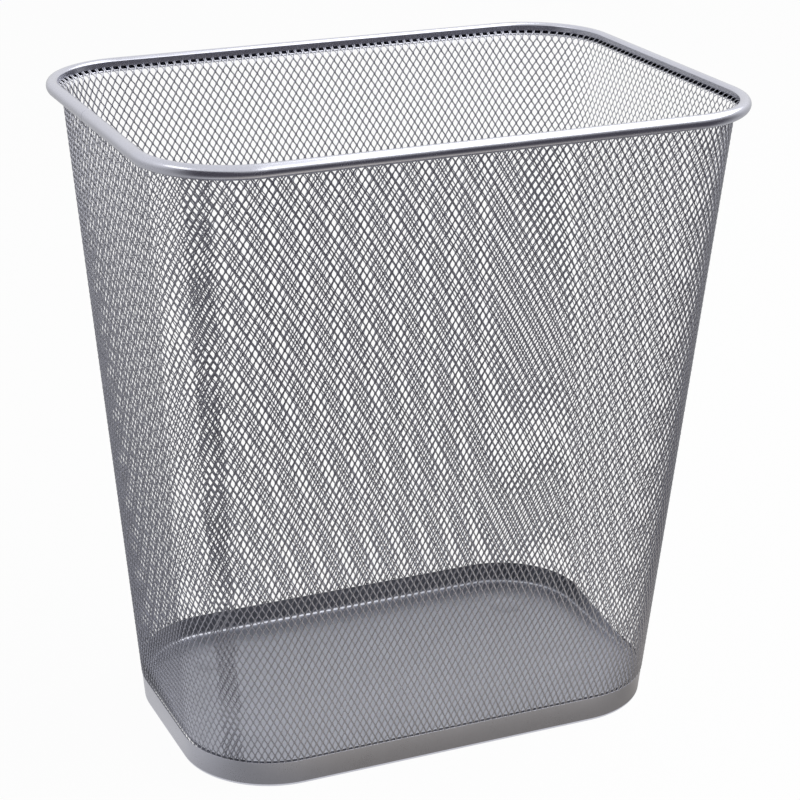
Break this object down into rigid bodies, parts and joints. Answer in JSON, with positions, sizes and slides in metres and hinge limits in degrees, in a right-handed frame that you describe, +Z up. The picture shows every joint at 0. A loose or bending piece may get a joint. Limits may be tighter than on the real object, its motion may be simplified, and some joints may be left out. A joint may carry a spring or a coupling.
{
  "type": "mesh wastebasket",
  "caption": "Tapered rectangular wastebasket with rounded corners: expanded steel mesh wall, round tube rim, foot band and raised pressed floor tray, open at the top.",
  "frame": {"origin": "middle of the footprint, on the floor", "axes": "+Z up, +X along the long sides, -Y is the front long side that the picture shows nearest"},
  "size_m": [0.3322, 0.2426, 0.355],
  "materials": {
    "mesh_paint": "satin silver paint on expanded steel",
    "rim_paint": "satin silver paint on a rolled steel tube",
    "band_paint": "satin silver paint on steel strip",
    "tray_paint": "satin silver paint on pressed steel sheet"
  },
  "bodies": {
    "root": {"mesh_wall": "mesh_paint", "rim": "rim_paint", "foot_band": "band_paint", "floor_tray": "tray_paint"}
  },
  "joints": []
}
